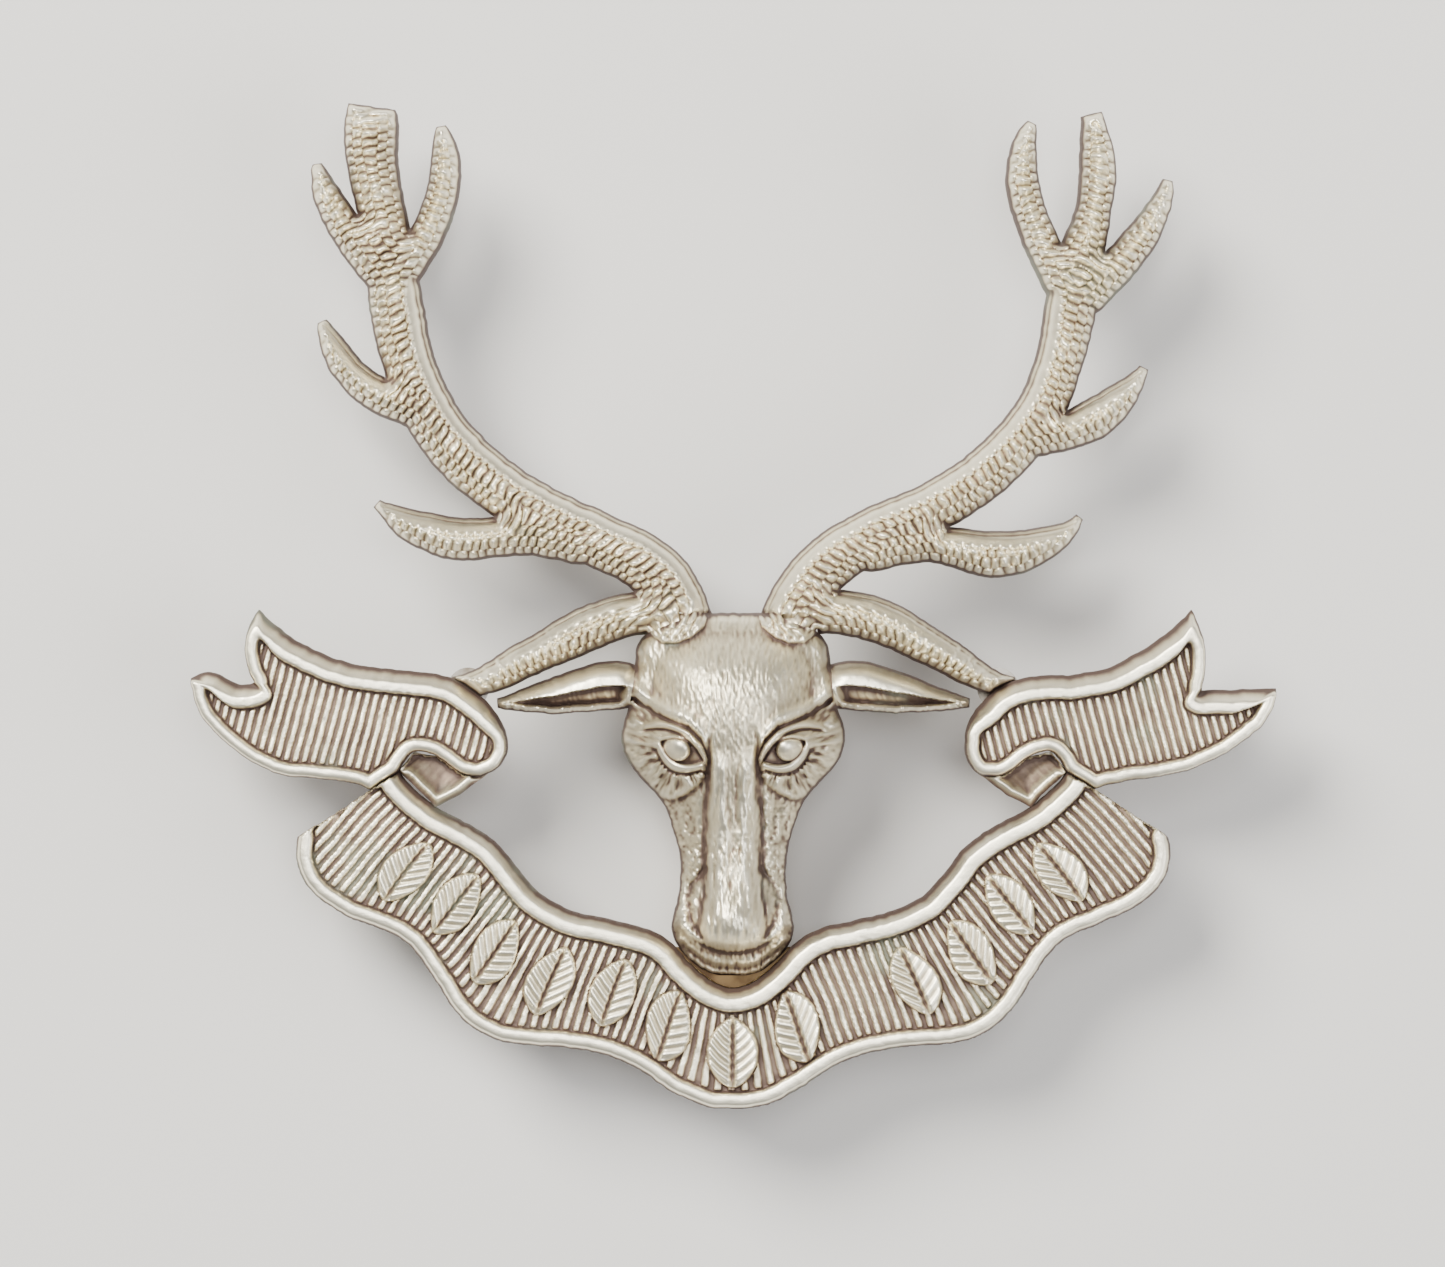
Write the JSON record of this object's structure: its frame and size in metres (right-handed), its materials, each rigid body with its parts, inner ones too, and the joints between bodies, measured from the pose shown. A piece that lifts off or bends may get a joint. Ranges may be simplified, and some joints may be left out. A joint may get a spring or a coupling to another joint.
{
  "type": "cap badge",
  "caption": "Struck white-metal cap badge: a stag's head with branching antlers over a swallow-tailed ribbon scroll, with wire lugs, backing plate and split pin.",
  "frame": {"origin": "under the middle of the badge, on the surface that the lugs stand on", "axes": "+X to the right of someone looking at the face, +Y up the badge to the antler tips, +Z out of the face"},
  "size_m": [0.0678, 0.0629, 0.0139],
  "materials": {
    "white_metal": "struck nickel silver, worn bright on the ridges and toned brown in the recesses",
    "lug_brass": "drawn brass wire, dull",
    "pin_brass": "half-round brass wire, rubbed",
    "plate_brass": "rolled brass sheet, scratched",
    "solder": "grey soft solder"
  },
  "bodies": {
    "badge": {"stag_head": "white_metal", "left_ear": "white_metal", "right_ear": "white_metal", "left_antler": "white_metal", "right_antler": "white_metal", "scroll_band": "white_metal", "left_scroll_tail": "white_metal", "right_scroll_tail": "white_metal", "left_scroll_fold": "white_metal", "right_scroll_fold": "white_metal", "upper_lug": "lug_brass", "lower_lug": "lug_brass", "left_tine_solder": "solder", "right_tine_solder": "solder", "muzzle_solder": "solder", "upper_lug_solder": "solder", "lower_lug_solder": "solder"},
    "split_pin": {"split_pin": "pin_brass"},
    "backing_plate": {"backing_plate": "plate_brass"}
  },
  "joints": [
    {"name": "pin_slide", "type": "slide", "parent": "badge", "child": "split_pin", "axis": [0, 1, 0], "range_m": [0, 0.0236]},
    {"name": "plate_slide", "type": "slide", "parent": "badge", "child": "backing_plate", "axis": [0, 0, 1], "range_m": [0, 0.0026]}
  ]
}
